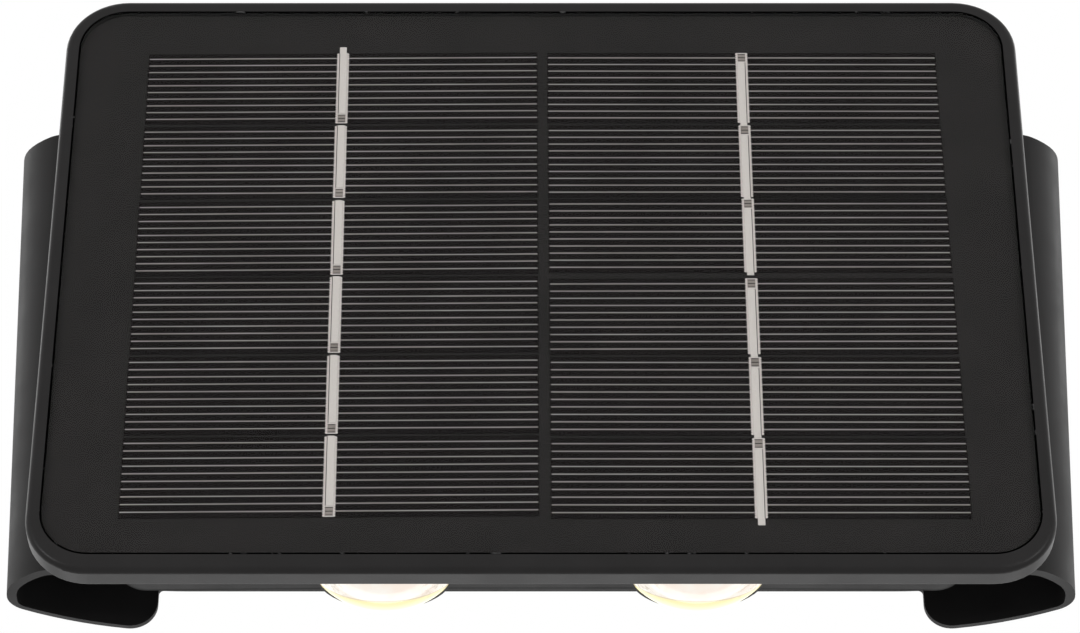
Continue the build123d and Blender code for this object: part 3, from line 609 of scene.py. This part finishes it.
def add_screw(bm, place, length):
    """One screw along local -Y, with its head's face at y = 0."""
    rings = [add_ring(bm, place, radius, y) for radius, y in screw_profile(length)]
    for first, second in zip(rings, rings[1:]):
        add_wall(bm, first, second)
    bm.faces.new(rings[-1])
    corners = []
    for quarter in range(4):
        spin = Matrix.Rotation(math.pi / 2 * quarter, 4, "Y")
        for x, z in (
            (CROSS_REACH, CROSS_HALF),
            (CROSS_REACH, -CROSS_HALF),
            (CROSS_HALF, -CROSS_HALF),
        ):
            corners.append(spin @ Vector((x, 0, z)))
    rim = [bm.verts.new(place @ corner) for corner in corners]
    foot = []
    for corner in corners:
        point = Vector((corner.x * CROSS_TAPER, -CROSS_DEPTH, corner.z * CROSS_TAPER))
        foot.append(bm.verts.new(place @ point))
    add_wall(bm, rim, foot)
    bm.faces.new(foot)
    edges = []
    for ring in (rings[0], rim):
        for step, vert in enumerate(ring):
            after = ring[(step + 1) % len(ring)]
            edges.append(bm.edges.get((vert, after)) or bm.edges.new((vert, after)))
    bmesh.ops.triangle_fill(bm, edges=edges, use_beauty=True)


def build_cover_screws():
    """Four screws in the corners of the back, each turned to its own angle."""
    low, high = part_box("cover_screws")
    bm = bmesh.new()
    for x in (low.x + HEAD_RADIUS, high.x - HEAD_RADIUS):
        for z in (low.z + HEAD_RADIUS, high.z - HEAD_RADIUS):
            turn = Matrix.Rotation(x * z / MM, 4, "Y")
            add_screw(bm, Matrix.Translation((x, high.y, z)) @ turn, high.y - low.y)
    bmesh.ops.recalc_face_normals(bm, faces=bm.faces)
    screws = new_piece("cross_screws", bm, "screw_steel", ["cover_screws"])
    smooth_by_angle(screws)


build_cover_screws()

# Dark sealant in the groove round the cover glass

GROOVE_WIDTH = 0.3 * MM
GLASS_CORNER = 7.3 * MM
SEALANT_CLEAR = 0.01 * MM  # from the glass and the frame
SEALANT_SINK = 0.12 * MM
SEALANT_DEPTH = 0.3 * MM
CORNER_STEPS = 24


def glass_outline(out):
    """Points (x, z) round the cover glass, grown outwards."""
    points = []
    middle_x, middle_z = (glass_low.x + glass_high.x) / 2, (glass_low.z + glass_high.z) / 2
    half_x = (glass_high.x - glass_low.x) / 2 - GLASS_CORNER
    half_z = (glass_high.z - glass_low.z) / 2 - GLASS_CORNER
    reach = GLASS_CORNER + out
    for quarter, (side_x, side_z) in enumerate(((1, 1), (-1, 1), (-1, -1), (1, -1))):
        for step in range(CORNER_STEPS + 1):
            turn = math.pi / 2 * (quarter + step / CORNER_STEPS)
            x = middle_x + side_x * half_x + reach * math.cos(turn)
            z = middle_z + side_z * half_z + reach * math.sin(turn)
            points.append((x, z))
    return points


def build_sealant():
    """A bead that dips in the middle, with its edges flush with the glass."""
    bm = bmesh.new()
    inner = SEALANT_CLEAR
    outer = GROOVE_WIDTH - SEALANT_CLEAR
    section = (
        (inner, 0.0),
        (GROOVE_WIDTH / 2, SEALANT_SINK),
        (outer, 0.0),
        (outer, SEALANT_DEPTH),
        (inner, SEALANT_DEPTH),
    )
    rings = []
    for out, depth in section:
        y = glass_low.y + depth
        rings.append([bm.verts.new((x, y, z)) for x, z in glass_outline(out)])
    for first, second in zip(rings, rings[1:] + rings[:1]):
        add_wall(bm, first, second)
    bmesh.ops.recalc_face_normals(bm, faces=bm.faces)
    new_piece("glass_sealant", bm, "adhesive_foam", finish="sealant")


build_sealant()

# ---- Studio -------------------------------------------------------------------------------------

WHITE = (1, 1, 1, 1)
WORLD_LIGHT = 0.45  # what the object gets from the world, which itself shows as white
FLOOR_Z = -0.5
FLOOR_SIZE = 8.0
FLOOR_COLOUR = (0.8, 0.8, 0.8, 1)
FLOOR_ROUGHNESS = 0.8
FLOOR_PALENESS = 0.6  # share of white that the camera, mirrors and glass see in the floor
# Lamps: name, place, width and height in metres, and watts. Each side lamp has a twin on the
# other side.
SIDE_LAMPS = (
    ("side", (0.75, 0.32, 0.58), 0.2, 0.5, 1.0),
    ("corner", (0.62, -0.74, -0.08), 0.2, 0.2, 1.5),
)
UNDER_LAMP = ("under", (0, 0.55, -0.4), 1.4, 0.3, 2.6)


def seen_directly(owner):
    """1 where the camera, a mirror or glass looks, and 0 for the light that falls on things."""
    path = add_node(owner, "ShaderNodeLightPath")
    signal = path.outputs["Is Camera Ray"]
    for name in ("Is Glossy Ray", "Is Transmission Ray"):
        signal = calc(owner, "MAXIMUM", signal, path.outputs[name])
    return signal


def make_world():
    """White for the camera, mirrors and glass; plain grey light for everything else."""
    world = bpy.data.worlds.new("studio")
    bpy.context.scene.world = world
    world.use_nodes = True
    background = world.node_tree.nodes["Background"]
    background.inputs["Color"].default_value = WHITE
    strength = ramp(world, seen_directly(world), WORLD_LIGHT, 1.0, 0.0, 1.0)
    link(world, strength, background.inputs["Strength"])


def make_floor():
    """Plain pale floor, well under the lamp as it hangs on its wall."""
    mesh = bpy.data.meshes.new("floor")
    half = FLOOR_SIZE / 2
    corners = [(-half, -half), (half, -half), (half, half), (-half, half)]
    mesh.from_pydata([(x, y, FLOOR_Z) for x, y in corners], [], [(0, 1, 2, 3)])
    floor = bpy.data.objects.new("floor", mesh)
    bpy.context.scene.collection.objects.link(floor)
    mat, shader = new_material("floor", Roughness=FLOOR_ROUGHNESS, Base_Color=FLOOR_COLOUR)
    glow = add_node(mat, "ShaderNodeEmission")
    share = calc(mat, "MULTIPLY", seen_directly(mat), FLOOR_PALENESS)
    mix_shaders(mat, share, shader, glow)
    mesh.materials.append(mat)


def area_light(name, place, width, height, watts):
    """A soft lamp that faces the object and isn't seen itself."""
    data = bpy.data.lights.new(name, "AREA")
    data.shape = "RECTANGLE"
    data.size = width
    data.size_y = height
    data.energy = watts
    lamp = bpy.data.objects.new(name, data)
    bpy.context.scene.collection.objects.link(lamp)
    lamp.location = place
    lamp.rotation_mode = "QUATERNION"
    lamp.rotation_quaternion = (-Vector(place)).to_track_quat("-Z", "Y")
    lamp.visible_camera = False


make_world()
make_floor()
for side, end in ((-1, "left"), (1, "right")):
    for name, (x, y, z), *rest in SIDE_LAMPS:
        area_light(f"{name}_{end}", (side * x, y, z), *rest)
area_light(*UNDER_LAMP)
bpy.context.scene.view_settings.view_transform = "Standard"
